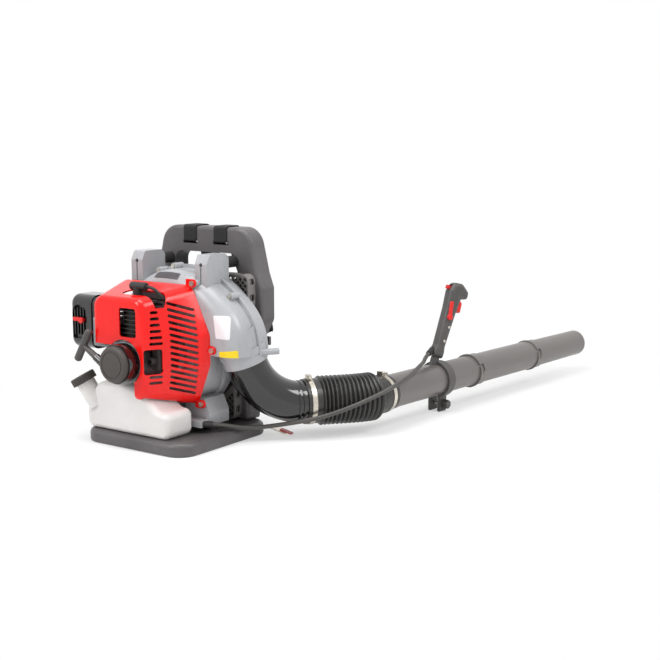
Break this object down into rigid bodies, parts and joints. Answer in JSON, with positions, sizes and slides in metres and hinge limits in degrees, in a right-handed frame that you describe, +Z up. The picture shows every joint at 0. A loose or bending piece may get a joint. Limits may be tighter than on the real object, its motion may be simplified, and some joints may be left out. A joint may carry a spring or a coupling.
{
  "type": "backpack leaf blower",
  "caption": "Petrol backpack leaf blower with a red engine cover, grey fan housing, ribbed hose, blow tube and throttle grip.",
  "frame": {"origin": "centre of the base tray underside", "axes": "+Z up, +Y the way the wearer faces and the blow tube points, +X to the wearer's right"},
  "size_m": [0.6491, 1.454, 0.47],
  "materials": {
    "red_gloss_shell": "injection-moulded gloss",
    "silver_housing": "satin moulded",
    "black_plastic": "satin moulded",
    "dark_tube_plastic": "satin blow-moulded",
    "tank_polyethylene": "translucent blow-moulded",
    "black_rubber": "moulded",
    "zinc_steel": "zinc plated",
    "cast_aluminium": "die cast",
    "black_webbing": "woven",
    "padded_cloth": "quilted",
    "filter_foam": "open-cell foam",
    "heat_black_steel": "heat-proof paint",
    "red_plastic": "moulded",
    "yellow_hose": "extruded"
  },
  "bodies": {
    "frame": {"base_tray": "black_plastic", "back_panel": "black_plastic", "back_pad": "padded_cloth", "shoulder_straps": "padded_cloth", "webbing_straps": "black_webbing", "strap_buckles": "black_plastic", "front_volute": "silver_housing", "rear_volute": "silver_housing", "housing_screws": "zinc_steel", "rubber_dampers": "black_rubber", "intake_guard": "black_plastic", "crank_bearings": "zinc_steel", "ignition_coil": "heat_black_steel", "crankcase": "cast_aluminium", "cylinder": "cast_aluminium", "spark_plug": "zinc_steel", "plug_boot": "black_rubber", "plug_lead": "black_rubber", "muffler": "heat_black_steel", "carburettor": "black_plastic", "filter_base": "black_plastic", "filter_element": "filter_foam", "filter_cover": "black_plastic", "fuel_hose": "yellow_hose", "engine_cover": "red_gloss_shell", "starter_cup": "black_plastic", "starter_cap": "black_plastic", "fuel_tank": "tank_polyethylene", "elbow": "dark_tube_plastic", "rear_hose_clamp": "zinc_steel", "cable_anchor": "black_plastic", "cable_lower": "black_rubber", "quick_release_hook": "zinc_steel", "release_tab": "red_plastic"},
    "crank": {"crankshaft": "zinc_steel", "flywheel": "cast_aluminium", "impeller": "black_plastic"},
    "piston_body": {"piston": "cast_aluminium"},
    "pulley": {"rope_pulley": "black_plastic"},
    "starter_grip": {"pull_handle": "black_plastic"},
    "filler": {"fuel_cap": "black_plastic"},
    "choke": {"choke_lever": "red_plastic"},
    "primer": {"primer_bulb": "black_rubber"},
    "air_knob": {"filter_knob": "black_plastic"},
    "hose": {"bellows_hose": "black_rubber"},
    "wand": {"rear_tube": "dark_tube_plastic", "front_hose_clamp": "zinc_steel", "handle_clamp": "black_plastic", "clamp_bolt": "zinc_steel", "grip_left": "black_plastic", "grip_right": "black_plastic", "grip_fasteners": "zinc_steel", "grip_gland": "black_plastic", "cable_upper": "black_rubber"},
    "knob": {"clamp_knob": "black_plastic"},
    "trigger": {"throttle_trigger": "red_plastic"},
    "cruise": {"cruise_lever": "red_plastic"},
    "switch": {"stop_switch": "red_plastic"},
    "wand_middle": {"middle_tube": "dark_tube_plastic"},
    "wand_tip": {"nozzle_tube": "dark_tube_plastic"}
  },
  "joints": [
    {"name": "crank_spin", "type": "hinge", "parent": "frame", "child": "crank", "pos_m": [-0.012, -0.104, 0.19], "axis": [0, 1, 0], "continuous": true},
    {"name": "piston_stroke", "type": "slide", "parent": "frame", "child": "piston_body", "axis": [0, 0, 1], "range_m": [-0.03, 0]},
    {"name": "wand_swing", "type": "hinge", "parent": "frame", "child": "hose", "pos_m": [0.27661, 0.22084, 0.07978], "axis": [0, 0, 1], "range_deg": [-22, 22], "deforming": ["bellows_hose", "cable_lower"]},
    {"name": "wand_lift", "type": "hinge", "parent": "hose", "child": "wand", "pos_m": [0.31388, 0.27509, 0.07922], "axis": [0.9965, -0.0837, 0], "range_deg": [-20, 32], "deforming": ["bellows_hose", "cable_upper"]},
    {"name": "middle_twist", "type": "hinge", "parent": "wand", "child": "wand_middle", "pos_m": [0.36074, 0.71491, 0.079], "axis": [0.0837, 0.9965, 0], "range_deg": [0, 25]},
    {"name": "tip_twist", "type": "hinge", "parent": "wand_middle", "child": "wand_tip", "pos_m": [0.38517, 1.00589, 0.079], "axis": [0.0837, 0.9965, 0], "range_deg": [0, 25]},
    {"name": "starter_pull", "type": "slide", "parent": "frame", "child": "starter_grip", "axis": [-0.8607, 0, 0.509], "range_m": [0, 0.6], "stiffness_N_per_m": 20},
    {"name": "pulley_turn", "type": "hinge", "parent": "frame", "child": "pulley", "pos_m": [-0.012, -0.161, 0.19], "axis": [0, 1, 0], "range_deg": [0, 1080]},
    {"name": "cap_turn", "type": "hinge", "parent": "frame", "child": "filler", "pos_m": [-0.15, -0.142, 0.142], "axis": [-0.4209, -0.2505, 0.8718], "range_deg": [0, 270]},
    {"name": "choke_swing", "type": "hinge", "parent": "frame", "child": "choke", "pos_m": [-0.163, -0.127, 0.266], "axis": [0, 1, 0], "range_deg": [0, 40]},
    {"name": "primer_push", "type": "slide", "parent": "frame", "child": "primer", "axis": [0, 1, 0], "range_m": [0, 0.004], "stiffness_N_per_m": 600},
    {"name": "filter_knob_turn", "type": "hinge", "parent": "frame", "child": "air_knob", "pos_m": [-0.203, -0.086, 0.246], "axis": [1, 0, 0], "range_deg": [0, 360]},
    {"name": "clamp_knob_turn", "type": "hinge", "parent": "wand", "child": "knob", "pos_m": [0.34802, 0.56344, 0.019], "axis": [0.9965, -0.0837, 0], "range_deg": [0, 720]},
    {"name": "trigger_pull", "type": "hinge", "parent": "wand", "child": "trigger", "pos_m": [0.36398, 0.61347, 0.27595], "axis": [-0.904, 0.4215, -0.0713], "range_deg": [0, 15], "stiffness_Nm_per_rad": 0.8},
    {"name": "cruise_turn", "type": "hinge", "parent": "wand", "child": "cruise", "pos_m": [0.36997, 0.57873, 0.23294], "axis": [0.904, -0.4215, 0.0713], "range_deg": [0, 60]},
    {"name": "stop_slide", "type": "slide", "parent": "wand", "child": "switch", "axis": [0.1003, 0.3712, 0.9231], "range_m": [0, 0.005]}
  ],
  "couplings": [
    {"joint": "pulley_turn", "follows": "starter_pull", "rad_per_m": 31.25}
  ]
}
